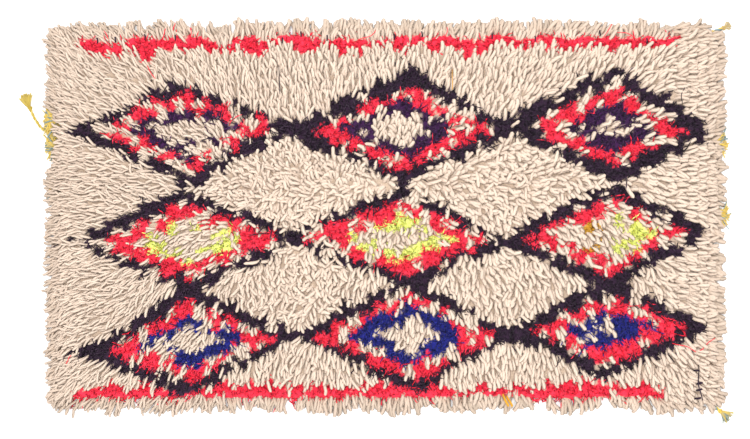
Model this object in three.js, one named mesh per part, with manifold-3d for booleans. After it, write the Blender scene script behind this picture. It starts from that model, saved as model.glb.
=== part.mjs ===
// A hand-knotted shag rug lying flat on the floor: long yarn pile on a woven ground, with twined ends,
// a loose yarn end and two corner tassels.
// Millimetres, +Z up. The origin is the middle of the ground's underside, and +X runs along the rug's length.
import * as THREE from "three";
import { mergeVertices } from "three/addons/utils/BufferGeometryUtils.js";
import Module from "manifold-3d";

const wasm = await Module();
wasm.setup();

// Woven ground
const GROUND_LENGTH = 1424;
const GROUND_WIDTH = 800;
const HALF_LENGTH = GROUND_LENGTH / 2;
const HALF_WIDTH = GROUND_WIDTH / 2;

// Pile: rows of tufts run across the rug, and every second row is shifted by half a tuft
const PILE_ROWS = 30;
const TUFTS_PER_ROW = 18;
const PILE_HEIGHT = 31;
const TUFT_RISE = 5;
const ROW_RISE = 1;
const TUFT_UNEVEN = 3;
const TUFT_LEAN = 9;
const TUFT_JITTER = 4;
const RIM_HEIGHT = 20;
const FLOW_STRETCH = 1.36;

// Locks of pile that hang over the rim and lie on the floor
const LOCK_PITCH = 26;
const LOCK_SHORTEST = 18;
const LOCK_LONGEST = 41;
const LOCK_SWAY = 6;
const LOCK_ROOT_DEPTH = 6;
const LOCK_SHOULDER = 10;
const CORNER_CLEAR = 24;

// Twined finish along each short end
const TWINING_WIDTH = 7;
const TWINING_THICKNESS = 4.5;
const TWINING_TURNS = 40;
const TWINING_SCALLOP = 0.8;
const PIECE_GAP = 0.3;
const TWINING_FACE = HALF_LENGTH + PIECE_GAP + TWINING_WIDTH;
const TWINING_MIDDLE = HALF_LENGTH + PIECE_GAP + TWINING_WIDTH / 2;

const YARN_WIDTH = 7;
const YARN_HEIGHT = 6;

const PILE_COLOUR = 0xead4bd;
const TWINING_COLOUR = 0xcfb45a;
const YARN_COLOUR = 0xd9b84a;

// A rim lock's four cross-sections, from its root in the pile to its tip on the floor
const LOCK_SECTIONS = [
  { at: "root", width: 16, under: 7, top: 19 },
  { at: "shoulder", width: 17, under: 6.5, top: 18 },
  { at: "bend", width: 14, under: 0, top: 11 },
  { at: "tip", width: 8, under: 0, top: 5 },
];

// The rim's sides: the middle of each, the way its locks lie, and the length that the locks share
const RIM_SIDES = [
  { name: "far", middle: [0, HALF_WIDTH], outward: [0, 1], length: GROUND_LENGTH },
  { name: "near", middle: [0, -HALF_WIDTH], outward: [0, -1], length: GROUND_LENGTH },
  { name: "left", middle: [-HALF_LENGTH, 0], outward: [-1, 0], length: GROUND_WIDTH },
  { name: "right", middle: [HALF_LENGTH, 0], outward: [1, 0], length: GROUND_WIDTH },
];

// Fans of locks at the two corners that have no tassel, in degrees from +X
const CORNER_FANS = [
  { corner: [-HALF_LENGTH, HALF_WIDTH], directions: [112, 135, 158] },
  { corner: [-HALF_LENGTH, -HALF_WIDTH], directions: [202, 225, 248] },
];

// Tufts of the twining's own yarn that show past the pile: the end, the place along it, the width and the reach
const TWINING_TUFTS = [
  { end: "left", y: 210, width: 32, reach: 36 },
  { end: "left", y: 157, width: 20, reach: 34 },
  { end: "left", y: 136, width: 8, reach: 24 },
  { end: "right", y: 161, width: 7, reach: 34 },
  { end: "right", y: 5, width: 8, reach: 39 },
];
const TUFT_CLEAR = 21;

// Sections of a tuft of end yarn, with widths as a share of its own
const TUFT_SECTIONS = [
  { share: 0, width: 1, under: 0, top: 4.5 },
  { share: 0.6, width: 0.9, under: 0, top: 4.2 },
  { share: 1, width: 0.45, under: 0, top: 2 },
];

// Tasselled yarns: each one's route over the floor, and the length and directions of its frayed strands
const TASSELS = [
  {
    name: "loose_yarn_left",
    route: [
      [-TWINING_FACE - PIECE_GAP, 174], [-729, 174], [-742, 184.5], [-757, 195], [-772, 216], [-782.5, 238.5],
    ],
    strandLength: 34,
    strandDirections: [93, 108, 123, 138],
  },
  {
    name: "corner_tassel_far_right",
    route: [[TWINING_MIDDLE, HALF_WIDTH + PIECE_GAP], [TWINING_MIDDLE, 405], [728, 409], [747, 416]],
    strandLength: 17,
    strandDirections: [2, 26, 50],
  },
  {
    name: "corner_tassel_near_right",
    route: [[TWINING_MIDDLE, -HALF_WIDTH - PIECE_GAP], [TWINING_MIDDLE, -406], [724, -416], [738, -428]],
    strandLength: 30,
    strandDirections: [-58, -38, -18],
  },
];

// Sections of a tasselled yarn, swelling to a knot at its end, and of one of its frayed strands
const YARN_SECTIONS = [
  { share: 0, width: YARN_WIDTH, under: 0, top: YARN_HEIGHT },
  { share: 0.22, width: YARN_WIDTH, under: 0, top: YARN_HEIGHT },
  { share: 0.44, width: YARN_WIDTH, under: 0, top: YARN_HEIGHT },
  { share: 0.66, width: YARN_WIDTH, under: 0, top: YARN_HEIGHT },
  { share: 0.84, width: YARN_WIDTH, under: 0, top: YARN_HEIGHT },
  { share: 0.94, width: 12, under: 0, top: 9 },
  { share: 1, width: 9, under: 0, top: 7.5 },
];
const FRAYED_SECTIONS = [
  { share: 0, width: 4, under: 0.5, top: 5.5 },
  { share: 0.6, width: 7, under: 0, top: 4.5 },
  { share: 1, width: 4, under: 0, top: 2.5 },
];
const FRAYED_ROOT = 4;

// A repeatable number from -1 to 1 for a pair of whole numbers.
function scatter(i, j) {
  const wave = Math.sin(i * 127.1 + j * 311.7 + 74.7) * 43758.5453;
  return 2 * (wave - Math.floor(wave)) - 1;
}

// The way the pile lies at a place: outwards from the middle, as a level unit vector.
function flowAt(x, y) {
  return new THREE.Vector2(x / FLOW_STRETCH, y).normalize();
}

// A closed geometry as a solid, without the triangles that have closed up, and a solid as a geometry.
function solidOf(geometry) {
  const bare = new THREE.BufferGeometry();
  bare.setAttribute("position", geometry.attributes.position);
  bare.setIndex(geometry.index);
  const merged = mergeVertices(bare);
  const corners = [];
  for (let n = 0; n < merged.index.count; n += 3) {
    const [a, b, c] = [0, 1, 2].map((step) => merged.index.getX(n + step));
    if (a !== b && b !== c && c !== a) corners.push(a, b, c);
  }
  return new wasm.Manifold(
    new wasm.Mesh({
      numProp: 3,
      vertProperties: merged.attributes.position.array,
      triVerts: new Uint32Array(corners),
    }),
  );
}

function geometryOf(solid) {
  const mesh = solid.getMesh();
  const geometry = new THREE.BufferGeometry();
  geometry.setAttribute("position", new THREE.BufferAttribute(mesh.vertProperties, 3));
  geometry.setIndex(new THREE.BufferAttribute(mesh.triVerts, 1));
  geometry.computeVertexNormals();
  return geometry;
}

function join(solids) {
  return solids.reduce((whole, solid) => whole.add(solid));
}

// A level route through points on the floor.
function routeThrough(points) {
  return new THREE.CatmullRomCurve3(points.map(([x, y]) => new THREE.Vector3(x, y, 0)));
}

// A four-sided strand along a level route, with a cross-section for each row of sections.
function strand(route, sections) {
  const steps = sections.length - 1;
  const geometry = new THREE.BoxGeometry(1, 1, 1, 1, steps, 1);
  const position = geometry.attributes.position;
  for (let i = 0; i < position.count; i += 1) {
    const section = sections[Math.round((position.getY(i) + 0.5) * steps)];
    const centre = route.getPointAt(section.share);
    const ahead = route.getTangentAt(section.share);
    const across = position.getX(i) * section.width;
    const height = position.getZ(i) > 0 ? section.top : section.under;
    position.setXYZ(i, centre.x + ahead.y * across, centre.y - ahead.x * across, height);
  }
  return solidOf(geometry);
}

// A rim lock: it leaves the pile at a root point, clears the twining, and bends down to lie on the floor.
function rimLock(root, direction, reach) {
  const outward = direction.clone().normalize();
  const start = root.clone().addScaledVector(outward, -LOCK_ROOT_DEPTH);
  const tip = root.clone().addScaledVector(outward, reach);
  const length = reach + LOCK_ROOT_DEPTH;
  const shoulder = (LOCK_ROOT_DEPTH + LOCK_SHOULDER) / length;
  const shares = { root: 0, shoulder, bend: (1 + shoulder) / 2, tip: 1 };
  const sections = LOCK_SECTIONS.map((section) => ({ ...section, share: shares[section.at] }));
  const route = new THREE.LineCurve3(
    new THREE.Vector3(start.x, start.y, 0),
    new THREE.Vector3(tip.x, tip.y, 0),
  );
  return strand(route, sections);
}

function lockReach(i, j) {
  const share = (scatter(i, j) + 1) / 2;
  return LOCK_SHORTEST + share * (LOCK_LONGEST - LOCK_SHORTEST);
}

// Whether a place on the rim is left free for a tuft of end yarn or a tasselled yarn.
function keptFree(side, y) {
  const tufts = TWINING_TUFTS.filter(({ end }) => end === side.name).map((tuft) => tuft.y);
  const yarns = side.name === "left" ? [TASSELS[0].route[0][1]] : [];
  return [...tufts, ...yarns].some((place) => Math.abs(place - y) < TUFT_CLEAR);
}

function sideLocks(side, sideNumber) {
  const along = new THREE.Vector2(-side.outward[1], side.outward[0]);
  const usable = side.length - 2 * CORNER_CLEAR;
  const count = Math.floor(usable / LOCK_PITCH) + 1;
  const pitch = usable / (count - 1);
  const locks = [];
  for (let i = 0; i < count; i += 1) {
    const root = new THREE.Vector2(...side.middle).addScaledVector(along, i * pitch - usable / 2);
    if (keptFree(side, root.y)) continue;
    const reach = lockReach(i, sideNumber);
    const sway = (LOCK_SWAY * scatter(i, sideNumber + 7)) / reach;
    const direction = new THREE.Vector2(...side.outward).addScaledVector(along, sway);
    locks.push(rimLock(root, direction, reach));
  }
  return locks;
}

function cornerLocks({ corner, directions }) {
  return directions.map((degrees, i) => {
    const angle = THREE.MathUtils.degToRad(degrees);
    const direction = new THREE.Vector2(Math.cos(angle), Math.sin(angle));
    return rimLock(new THREE.Vector2(...corner), direction, lockReach(i, Math.sign(corner[1]) + 11));
  });
}

// The lumpy slab of the ground and its pile: tuft tops rise between the rows and lean outwards. The inner
// points of the underside are drawn together in the middle, which leaves one flat fan of triangles.
function pileSlab() {
  const columns = PILE_ROWS * 2;
  const rows = TUFTS_PER_ROW * 2;
  const geometry = new THREE.BoxGeometry(GROUND_LENGTH, GROUND_WIDTH, 1, columns, rows, 1);
  const position = geometry.attributes.position;
  for (let n = 0; n < position.count; n += 1) {
    const x = position.getX(n);
    const y = position.getY(n);
    const i = Math.round((x / GROUND_LENGTH + 0.5) * columns);
    const j = Math.round((y / GROUND_WIDTH + 0.5) * rows);
    const onRim = i === 0 || j === 0 || i === columns || j === rows;
    const onUnderside = position.getZ(n) < 0;
    if (onRim) {
      position.setZ(n, onUnderside ? 0 : RIM_HEIGHT);
      continue;
    }
    if (onUnderside) {
      position.setXYZ(n, 0, 0, 0);
      continue;
    }
    const shifted = ((i - 1) / 2) % 2;
    const onTuft = i % 2 === 1 && (j + shifted) % 2 === 1;
    const lean = flowAt(x, y).multiplyScalar(onTuft ? TUFT_LEAN : 0);
    const rise = onTuft ? TUFT_RISE : i % 2 === 1 ? ROW_RISE : -TUFT_RISE;
    const height = PILE_HEIGHT + rise + TUFT_UNEVEN * scatter(i, j);
    position.setXYZ(
      n,
      x + lean.x + TUFT_JITTER * scatter(j, i + 3),
      y + lean.y + TUFT_JITTER * scatter(i + 5, j),
      height,
    );
  }
  return solidOf(geometry);
}

function pile() {
  const locks = [...RIM_SIDES.flatMap(sideLocks), ...CORNER_FANS.flatMap(cornerLocks)];
  return join([pileSlab(), ...locks]);
}

// The twining along one short end: a flat strip scalloped by its turns, with its own tufts of yarn.
function twining(end) {
  const outward = end === "right" ? 1 : -1;
  const geometry = new THREE.BoxGeometry(
    TWINING_WIDTH, GROUND_WIDTH, TWINING_THICKNESS, 1, TWINING_TURNS * 2, 1,
  );
  geometry.translate(outward * TWINING_MIDDLE, 0, TWINING_THICKNESS / 2);
  const position = geometry.attributes.position;
  for (let n = 0; n < position.count; n += 1) {
    const turn = Math.round((position.getY(n) / GROUND_WIDTH + 0.5) * TWINING_TURNS * 2);
    const onOuterFace = outward * position.getX(n) > TWINING_MIDDLE;
    if (onOuterFace && turn % 2 === 0) position.setX(n, position.getX(n) - outward * TWINING_SCALLOP);
  }
  const tufts = TWINING_TUFTS.filter((tuft) => tuft.end === end).map(({ y, width, reach }) => {
    const route = routeThrough([[outward * TWINING_MIDDLE, y], [outward * (HALF_LENGTH + reach), y]]);
    return strand(route, TUFT_SECTIONS.map((section) => ({ ...section, width: width * section.width })));
  });
  return join([solidOf(geometry), ...tufts]);
}

// A tasselled yarn: it lies on the floor, is knotted near its end, and frays into strands.
function tassel({ route, strandLength, strandDirections }) {
  const knot = route[route.length - 1];
  const strands = strandDirections.map((degrees) => {
    const angle = THREE.MathUtils.degToRad(degrees);
    const along = (distance) => [
      knot[0] + distance * Math.cos(angle),
      knot[1] + distance * Math.sin(angle),
    ];
    return strand(routeThrough([along(-FRAYED_ROOT), along(strandLength)]), FRAYED_SECTIONS);
  });
  return join([strand(routeThrough(route), YARN_SECTIONS), ...strands]);
}

function piece(name, solid, colour) {
  const material = new THREE.MeshStandardMaterial({ color: colour, roughness: 0.95, metalness: 0 });
  const mesh = new THREE.Mesh(geometryOf(solid), material);
  mesh.name = name;
  return mesh;
}

const rug = new THREE.Group();
rug.add(piece("pile", pile(), PILE_COLOUR));
for (const end of ["left", "right"]) rug.add(piece(`end_twining_${end}`, twining(end), TWINING_COLOUR));
for (const yarn of TASSELS) rug.add(piece(yarn.name, tassel(yarn), YARN_COLOUR));

export default rug;
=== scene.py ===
# %% [markdown]
# # A knotted shag rug
# The rug is a woven ground with long yarn knotted into it, row by row. Plied cream cotton makes most of the
# pile, and tufts of fuzzy dyed wool draw nine lozenges and two red lines in it. We build it as it is made:
# first the lie of the pile and the chart of the pattern, then the yarn that grows out of each knot.
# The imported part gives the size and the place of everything, so it is loaded first.

import math

import bpy
import numpy as np
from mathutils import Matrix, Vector
from mathutils.kdtree import KDTree


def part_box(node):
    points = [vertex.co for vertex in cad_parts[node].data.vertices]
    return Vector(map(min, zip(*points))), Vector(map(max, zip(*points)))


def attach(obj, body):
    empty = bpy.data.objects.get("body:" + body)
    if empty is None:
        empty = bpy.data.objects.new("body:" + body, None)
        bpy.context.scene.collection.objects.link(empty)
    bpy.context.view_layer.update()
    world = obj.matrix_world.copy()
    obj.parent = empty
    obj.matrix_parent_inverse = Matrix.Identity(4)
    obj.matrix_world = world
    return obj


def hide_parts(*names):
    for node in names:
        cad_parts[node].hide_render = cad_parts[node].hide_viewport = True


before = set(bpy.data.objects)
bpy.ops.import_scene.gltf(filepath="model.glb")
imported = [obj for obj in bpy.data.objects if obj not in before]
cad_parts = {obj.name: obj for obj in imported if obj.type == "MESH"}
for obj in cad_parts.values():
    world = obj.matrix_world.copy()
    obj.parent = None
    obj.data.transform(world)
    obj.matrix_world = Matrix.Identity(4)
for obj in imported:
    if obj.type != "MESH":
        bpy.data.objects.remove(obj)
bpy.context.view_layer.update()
MM = 0.001

# %% [markdown]
# ## The lie of the pile
# The pile has been trodden and combed outwards. It lies across the rug along the long sides, and turns to lie
# along it at the ends: slowly at the left one, sharply at the right one. In the middle, and in two places
# where it has been turned over, it stands up and turns anyhow. A painted guide could hold this, but a short
# formula is easier to read and to change. Sizes here are in millimetres, from the middle of the rug.

# %% The heading of the pile
# beyond STRAIGHT the pile turns to the end, by FAN for each millimetre
STRAIGHT_LEFT, FAN_LEFT = 330.0, 0.85
STRAIGHT_RIGHT, FAN_RIGHT = 600.0, 7.0
# it leans a little to the ends everywhere, and it parts along a line that rises to the right
LEAN_LEFT, LEAN_RIGHT = 0.15, 0.27
MIDDLE_Y, MIDDLE_RISE = 70.0, 0.07
CALM_RADIUS = 230.0
RUFFLED = [
    # the middle of a place where the pile has been turned over, its radius, and how much of it
    dict(x=-190, y=-140, radius=120, share=0.85),
    dict(x=270, y=-150, radius=90, share=0.4),
]
NOISE_WAVES, NOISE_SPREAD, NOISE_HEIGHT = 6, (0.8, 2.2), 2.6
WANDER = dict(amount=0.16, size=130, seed=3)
SWIRL = dict(amount=0.9, size=85, seed=5)


def soft_noise(x, y, amount, size, seed):
    """A smooth wandering value, about -amount to amount, that changes over a length of size millimetres."""
    turn = np.random.default_rng(seed)
    total = np.zeros(np.shape(x))
    for _ in range(NOISE_WAVES):
        angle, phase = turn.uniform(0, 2 * np.pi, 2)
        scale = 2 * np.pi / (size * turn.uniform(*NOISE_SPREAD))
        total += np.sin((x * np.cos(angle) + y * np.sin(angle)) * scale + phase)
    return amount * (total / NOISE_HEIGHT)


def combed(x, y):
    """The heading of the combed pile, and how settled it is: 0 in the middle and 1 towards the rim."""
    lengthwise = FAN_RIGHT * np.maximum(x - STRAIGHT_RIGHT, 0) - FAN_LEFT * np.maximum(-x - STRAIGHT_LEFT, 0)
    lengthwise = lengthwise + np.where(x < 0, LEAN_LEFT, LEAN_RIGHT) * x
    crosswise = y - MIDDLE_Y - MIDDLE_RISE * x
    settled = np.clip(np.hypot(lengthwise, crosswise) / CALM_RADIUS, 0.0, 1.0)
    for spot in RUFFLED:
        away = np.hypot(x - spot["x"], y - spot["y"]) / spot["radius"]
        settled = settled * (1 - spot["share"] * np.exp(-(away**2)))
    return np.arctan2(crosswise, lengthwise), settled


def lie_of_pile(x, y):
    """The combed heading with the wandering of real yarn, and how settled the pile is."""
    heading, settled = combed(x, y)
    return heading + soft_noise(x, y, **WANDER) + (1 - settled) * soft_noise(x, y, **SWIRL), settled


print("heading at the far right corner:", round(float(combed(np.array(700.0), np.array(400.0))[0]), 2))

# %% [markdown]
# ## The chart
# A weaver works from a chart that says which yarn each knot takes. Ours is a short table with a row for each
# lozenge: its four tips, the dye of its inner ring, where its rings end and how much cream is knotted into
# them. A lozenge's "ring distance" is 0 in its middle and 1 at its outline, so each ring is a span of
# distances. A little more cream shows between red and black, the red lines are ragged on their inner side,
# and the wool stops short of the two ends. Two things make the pattern look worked by hand: it steps from
# knot to knot, and it is drawn out along the lie of the pile, end by end, because the yarn has been combed.

# %% The lozenges, the lines and some odd knots
CREAM, BLACK, RED, PURPLE, LIME, BLUE, ORANGE = range(7)
YARN_NAMES = ["cream", "black", "red", "purple", "lime", "blue", "orange"]
LOZENGES = [
    # corners: the left, top, right and bottom tip of the outline
    # rings: where the cream middle, the dyed ring and the red ring end
    # cream: the share of cream knots in the dyed ring, the red ring and the outline
    # dyed_from: how far right of the middle the dyed ring begins, if it isn't dyed all round
    dict(corners=((-697, 187), (-462, 302), (-182, 208), (-422, 59)), dye=PURPLE,
         rings=(0.27, 0.51, 0.75), cream=(0.37, 0.43, 0.05)),
    dict(corners=((-245, 184), (49, 329), (317, 187), (28, 66)), dye=PURPLE,
         rings=(0.27, 0.49, 0.72), cream=(0.22, 0.20, 0.09)),
    dict(corners=((226, 203), (511, 334), (738, 184), (518, 65)), dye=PURPLE,
         rings=(0.14, 0.44, 0.68), cream=(0.14, 0.20, 0.04)),
    dict(corners=((-706, -56), (-448, 64), (-150, -48), (-433, -172)), dye=LIME,
         rings=(0.25, 0.46, 0.75), cream=(0.33, 0.30, 0.07)),
    dict(corners=((-253, -50), (41, 68), (306, -61), (53, -152)), dye=LIME,
         rings=(0.23, 0.46, 0.76), cream=(0.26, 0.28, 0.10)),
    dict(corners=((232, -56), (498, 78), (738, -34), (492, -166)), dye=LIME, dyed_from=-10,
         rings=(0.17, 0.43, 0.73), cream=(0.36, 0.38, 0.07)),
    dict(corners=((-684, -298), (-431, -152), (-168, -265), (-432, -397)), dye=BLUE,
         rings=(0.21, 0.48, 0.73), cream=(0.18, 0.34, 0.05)),
    dict(corners=((-216, -265), (53, -128), (296, -264), (71, -384)), dye=BLUE,
         rings=(0.31, 0.55, 0.78), cream=(0.03, 0.30, 0.08)),
    dict(corners=((228, -260), (500, -135), (738, -243), (491, -360)), dye=BLUE,
         rings=(0.13, 0.41, 0.68), cream=(0.08, 0.27, 0.04)),
]
RED_LINES = [
    dict(y=376, rise=9, from_x=-680, to_x=645, thickness=38),
    dict(y=-384, rise=6, from_x=-687, to_x=612, thickness=43),
]
ODD_KNOTS = [
    dict(x=447, y=-23, dye=ORANGE),
    dict(x=468, y=-23, dye=ORANGE),
    dict(x=458, y=-70, dye=ORANGE),
    dict(x=-318, y=390, dye=RED),
    dict(x=-302, y=392, dye=RED),
]
print("lozenges:", len(LOZENGES), "red lines:", len(RED_LINES), "odd knots:", len(ODD_KNOTS))

# %% Knots and combed streaks
KNOT_CELL = (20.0, 13.0)
RAGGED_X = dict(amount=3.0, size=16, seed=21)
RAGGED_Y = dict(amount=3.0, size=16, seed=22)
STREAK_WIDTH, STREAK_LENGTH, STREAK_REACH = 7.5, 48.0, 7.0
LIE_STEP = math.radians(20)
CHANCE_WEIGHTS, CHANCE_SCALE = (12.71, 31.17, 74.7), 43758.5453


def chance_of(*numbers):
    """A repeatable value from 0 to 1 for each set of numbers."""
    value = sum(n * k for n, k in zip(numbers, CHANCE_WEIGHTS))
    value = np.sin(value) * CHANCE_SCALE
    return value - np.floor(value)


def drawn_out(x, y):
    """Slides each place along the lie of the pile, by an amount that all places of one yarn end share."""
    heading = LIE_STEP * np.round(combed(x, y)[0] / LIE_STEP)
    cosine, sine = np.cos(heading), np.sin(heading)
    beside = np.floor((y * cosine - x * sine) / STREAK_WIDTH)
    along = np.floor((x * cosine + y * sine) / STREAK_LENGTH + chance_of(beside, heading))
    shift = STREAK_REACH * (2 * chance_of(beside, along, heading) - 1)
    return x - shift * cosine, y - shift * sine


def knot_at(x, y):
    """The middle of the knot that covers each place. Neighbouring columns are half a knot apart."""
    x, y = x + soft_noise(x, y, **RAGGED_X), y + soft_noise(x, y, **RAGGED_Y)
    column = np.floor(x / KNOT_CELL[0])
    stagger = 0.5 * (column % 2)
    line = np.floor(y / KNOT_CELL[1] + stagger)
    return (column + 0.5) * KNOT_CELL[0], (line + 0.5 - stagger) * KNOT_CELL[1]


print("knot at the middle of the rug:", [float(v) for v in knot_at(0.0, 0.0)])

# %% Reading the chart
RING_WANDER = dict(amount=0.03, size=70)
RING_SEED = 50
RING_SCATTER = 0.03
CREAM_BETWEEN = dict(width=0.04, share=0.22)
LINE_WANDER = dict(amount=5.5, size=90, seed=41)
LINE_UNEVEN = dict(amount=0.3, size=50, seed=42)
TOOTH_WIDTH, TOOTH_LENGTH = 9.0, 18.0
ODD_SIZE = 0.75
WOOL_ENDS_AT = 708.0


def ring_distance(x, y, lozenge):
    """The ring distance of places from a lozenge's middle, and how far to the right of it they lie."""
    corners = np.array(lozenge["corners"], float)
    middle = corners.mean(axis=0)
    right, up = x - middle[0], y - middle[1]
    ring = np.zeros(np.shape(x))
    for one, other in zip(corners - middle, np.roll(corners, -1, axis=0) - middle):
        area = one[0] * other[1] - one[1] * other[0]
        share, rest = (right * other[1] - up * other[0]) / area, (up * one[0] - right * one[1]) / area
        ring = np.where((share >= 0) & (rest >= 0), share + rest, ring)
    return ring, right


def in_lozenge(x, y):
    return np.any([ring_distance(x, y, lozenge)[0] < 1 for lozenge in LOZENGES], axis=0)


def knot_lozenges(yarn, knot_x, knot_y):
    """Puts the wool of the lozenges on the chart, ring by ring."""
    chance, scatter = chance_of(knot_x, knot_y), chance_of(knot_y, knot_x)
    for n, lozenge in enumerate(LOZENGES):
        ring, right = ring_distance(knot_x, knot_y, lozenge)
        ring = ring + soft_noise(knot_x, knot_y, **RING_WANDER, seed=RING_SEED + n)
        ring = ring + RING_SCATTER * (2 * scatter - 1)
        wools, starts = (lozenge["dye"], RED, BLACK), lozenge["rings"]
        stops = (*starts[1:], 1.0)
        for wool, start, stop, cream in zip(wools, starts, stops, lozenge["cream"]):
            if wool == BLACK:
                cream = np.where(ring < start + CREAM_BETWEEN["width"], CREAM_BETWEEN["share"], cream)
            here = (ring > start) & (ring < stop) & (chance > cream)
            if wool == lozenge["dye"]:
                here = here & (right > lozenge.get("dyed_from", -np.inf))
            yarn[here] = wool


def knot_lines(yarn, x, y):
    """Puts the red lines on the chart. Cream teeth cut into their inner side, and black stays over them."""
    for line in RED_LINES:
        inside = (x > line["from_x"]) & (x < line["to_x"])
        middle = line["y"] + line["rise"] * x / line["to_x"] / 2 + soft_noise(x, line["y"], **LINE_WANDER)
        half = line["thickness"] / 2 * (1 + soft_noise(x, line["y"], **LINE_UNEVEN))
        tooth = TOOTH_LENGTH * chance_of(np.floor(x / TOOTH_WIDTH), line["y"]) ** 2
        half = half - np.where((y - middle) * line["y"] < 0, tooth, 0)
        yarn[inside & (np.abs(y - middle) < half) & (yarn != BLACK)] = RED


def chart(x, y):
    """The yarn that shows at each place: x and y in millimetres."""
    yarn = np.full(x.shape, CREAM)
    at_end = np.abs(x) > WOOL_ENDS_AT
    x, y = drawn_out(x, y)
    knot_x, knot_y = knot_at(x, y)
    knot_lozenges(yarn, knot_x, knot_y)
    knot_lines(yarn, x, y)
    for odd in ODD_KNOTS:
        apart = np.hypot((knot_x - odd["x"]) / KNOT_CELL[0], (knot_y - odd["y"]) / KNOT_CELL[1])
        yarn[apart < ODD_SIZE] = odd["dye"]
    yarn[at_end] = CREAM
    return yarn


print("yarn at the middle of the rug:", YARN_NAMES[chart(np.zeros(1), np.zeros(1))[0]])

# %% [markdown]
# ## Where yarn shows
# From above we see the outer part of each yarn end, lying side by side with its neighbours like shingles. So
# we choose the places where yarn shows, and work back to its knot. Scattered places would leave holes and
# crowds, so they are settled first: each place pushes its neighbours away, further along the lie than across
# it, until all have room for their yarn, which is finer at the left end and stouter at the right one. Places
# that are pushed over the rim line up along it. Near the right end the pile lies so flat that its rows show,
# so places are drawn to rows there.

# %% Rough places for cream yarn
SEED = 11
# how far tips reach past the outermost places, at the ends and at the sides
TIP_REACH = (14.0, 21.0)
# the room of one end along the lie, where the pile stands and where it is settled, and across the lie
ROOM_ALONG = (17.5, 25.0)
ROOM_BESIDE = 4.1
STOUTNESS = dict(x=(-560.0, -230.0, 150.0), share=(0.78, 1.0, 1.22))
FINEST = min(STOUTNESS["share"])
CROWDING, ROUGH_JITTER = 0.97, 0.45
rng = np.random.default_rng(SEED)
pile_low, pile_high = np.array(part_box("pile")) / MM
HALF_LENGTH, HALF_WIDTH = np.round((pile_high - pile_low)[:2] / 2) - TIP_REACH


def rows_of_places(pitch_x, pitch_y, jitter):
    """Places in staggered rows over the whole pile."""
    columns = int(2 * HALF_LENGTH / pitch_x) + 1
    rows = int(2 * HALF_WIDTH / pitch_y) + 1
    i, j = np.meshgrid(np.arange(columns), np.arange(rows), indexing="ij")
    x = (i - (columns - 1) / 2) * pitch_x
    y = (j - (rows - 1) / 2 + 0.5 * (i % 2) - 0.25) * pitch_y
    x = x.ravel() + rng.uniform(-jitter, jitter, x.size) * pitch_x
    y = y.ravel() + rng.uniform(-jitter, jitter, y.size) * pitch_y
    return x, y


def room_at(settled):
    """The length of pile that one end covers. Settled yarn lies longer than standing yarn."""
    return ROOM_ALONG[0] + (ROOM_ALONG[1] - ROOM_ALONG[0]) * settled


def stoutness(x):
    """How stout the yarn is along the rug. It was spun finer for the left end than for the right one."""
    return np.interp(x, STOUTNESS["x"], STOUTNESS["share"])


def thinned(x, y):
    """Leaves out places at random where yarn lies longer or is stouter, so that all fill the pile once."""
    room = room_at(lie_of_pile(x, y)[1]) * stoutness(x)
    keep = rng.uniform(0, 1, len(x)) < ROOM_ALONG[0] * FINEST / room
    return x[keep], y[keep]


rough_x, rough_y = rows_of_places(ROOM_ALONG[0] * CROWDING, ROOM_BESIDE * FINEST * CROWDING, ROUGH_JITTER)
rough_x, rough_y = thinned(rough_x, rough_y)
print("half length and half width of the places:", HALF_LENGTH, HALF_WIDTH)

# %% Settling the places
RIM_CORNER, RIM_SHIFT = 40.0, -1.5
SETTLE_ROUNDS, NEIGHBOURS = 28, 16
TOUCHING, NEAREST, TINY = 1.1, 0.1, 1e-6
PUSH_SHARE, LONGEST_PUSH = 0.22, 0.3
RIGHT_ROWS = dict(pitch=22.0, from_x=590.0, fade=50.0, pull=0.58)


def inside_rim(x, y):
    """Draws places back inside the rim, which has rounded corners."""
    core_x = np.clip(x, RIM_CORNER - HALF_LENGTH, HALF_LENGTH - RIM_CORNER)
    core_y = np.clip(y, RIM_SHIFT + RIM_CORNER - HALF_WIDTH, RIM_SHIFT + HALF_WIDTH - RIM_CORNER)
    share = np.minimum(1.0, RIM_CORNER / np.maximum(np.hypot(x - core_x, y - core_y), TINY))
    return core_x + share * (x - core_x), core_y + share * (y - core_y)


def neighbours_of(x, y):
    """The numbers of the places nearest to each place, itself among them."""
    tree = KDTree(len(x))
    for n in range(len(x)):
        tree.insert((x[n], y[n], 0), n)
    tree.balance()
    return np.array([[hit[1] for hit in tree.find_n((x[n], y[n], 0), NEIGHBOURS)] for n in range(len(x))])


def settle(x, y):
    """Pushes places apart until each has its room, measured along the lie and across it."""
    for _ in range(SETTLE_ROUNDS):
        near = neighbours_of(x, y)
        heading, settled = lie_of_pile(x, y)
        cosine, sine = np.cos(heading), np.sin(heading)
        long, wide = room_at(settled), ROOM_BESIDE * stoutness(x)
        to_x, to_y = x[near] - x[:, None], y[near] - y[:, None]
        ahead = (to_x * cosine[:, None] + to_y * sine[:, None]) / long[:, None]
        aside = (to_y * cosine[:, None] - to_x * sine[:, None]) / wide[:, None]
        apart = np.hypot(ahead, aside)
        push = np.where(apart > TINY, np.maximum(TOUCHING - apart, 0) / np.maximum(apart, NEAREST), 0)
        ahead = np.clip(-PUSH_SHARE * np.sum(push * ahead, axis=1), -LONGEST_PUSH, LONGEST_PUSH) * long
        aside = np.clip(-PUSH_SHARE * np.sum(push * aside, axis=1), -LONGEST_PUSH, LONGEST_PUSH) * wide
        x, y = inside_rim(x + ahead * cosine - aside * sine, y + ahead * sine + aside * cosine)
    return x, y


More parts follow.
